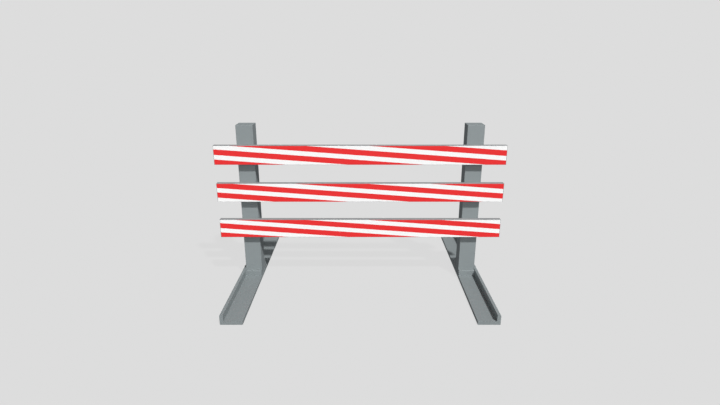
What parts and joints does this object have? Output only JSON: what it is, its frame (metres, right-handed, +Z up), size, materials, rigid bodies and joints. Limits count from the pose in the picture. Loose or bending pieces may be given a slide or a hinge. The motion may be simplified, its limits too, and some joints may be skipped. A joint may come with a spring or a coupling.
{
  "type": "type three barricade",
  "caption": "Free-standing road barricade: striped hollow rails bolted one above the other to box posts, which stand on long L-section feet.",
  "frame": {"origin": "on the ground, midway between the two feet and midway along them, under the posts' centre line", "axes": "+X along the rails, from the left post to the right post as seen from the striped front; -Y is the striped front, +Z is up"},
  "size_m": [3.048, 2.175, 1.7272],
  "materials": {
    "mill_aluminium": "weathered mill finish, matt, with faint lengthwise die lines",
    "rail_plastic": "extruded grey plastic, matt",
    "end_cap_plastic": "moulded grey plastic, fine grain",
    "striped_sheeting": "retroreflective sheeting, red bands on white",
    "stainless_steel": "satin"
  },
  "bodies": {
    "root": {"bottom_rail": "rail_plastic", "bottom_rail_bolts": "stainless_steel", "bottom_rail_crush_sleeves": "stainless_steel", "bottom_rail_left_end_cap": "end_cap_plastic", "bottom_rail_nut_plates": "stainless_steel", "bottom_rail_right_end_cap": "end_cap_plastic", "bottom_rail_sheeting": "striped_sheeting", "bottom_rail_washers": "stainless_steel", "left_base_screws": "stainless_steel", "left_cleat_screws": "stainless_steel", "left_foot_angle": "mill_aluminium", "left_front_cleat": "mill_aluminium", "left_inner_gusset": "mill_aluminium", "left_outer_gusset": "mill_aluminium", "left_post": "mill_aluminium", "left_post_base_plate": "mill_aluminium", "left_post_cap": "mill_aluminium", "left_side_bolts": "stainless_steel", "left_side_nut_plate": "stainless_steel", "left_side_washers": "stainless_steel", "middle_rail": "rail_plastic", "middle_rail_bolts": "stainless_steel", "middle_rail_crush_sleeves": "stainless_steel", "middle_rail_left_end_cap": "end_cap_plastic", "middle_rail_nut_plates": "stainless_steel", "middle_rail_right_end_cap": "end_cap_plastic", "middle_rail_sheeting": "striped_sheeting", "middle_rail_washers": "stainless_steel", "right_base_screws": "stainless_steel", "right_cleat_screws": "stainless_steel", "right_foot_angle": "mill_aluminium", "right_front_cleat": "mill_aluminium", "right_inner_gusset": "mill_aluminium", "right_outer_gusset": "mill_aluminium", "right_post": "mill_aluminium", "right_post_base_plate": "mill_aluminium", "right_post_cap": "mill_aluminium", "right_side_bolts": "stainless_steel", "right_side_nut_plate": "stainless_steel", "right_side_washers": "stainless_steel", "top_rail": "rail_plastic", "top_rail_bolts": "stainless_steel", "top_rail_crush_sleeves": "stainless_steel", "top_rail_left_end_cap": "end_cap_plastic", "top_rail_nut_plates": "stainless_steel", "top_rail_right_end_cap": "end_cap_plastic", "top_rail_sheeting": "striped_sheeting", "top_rail_washers": "stainless_steel"}
  },
  "joints": []
}
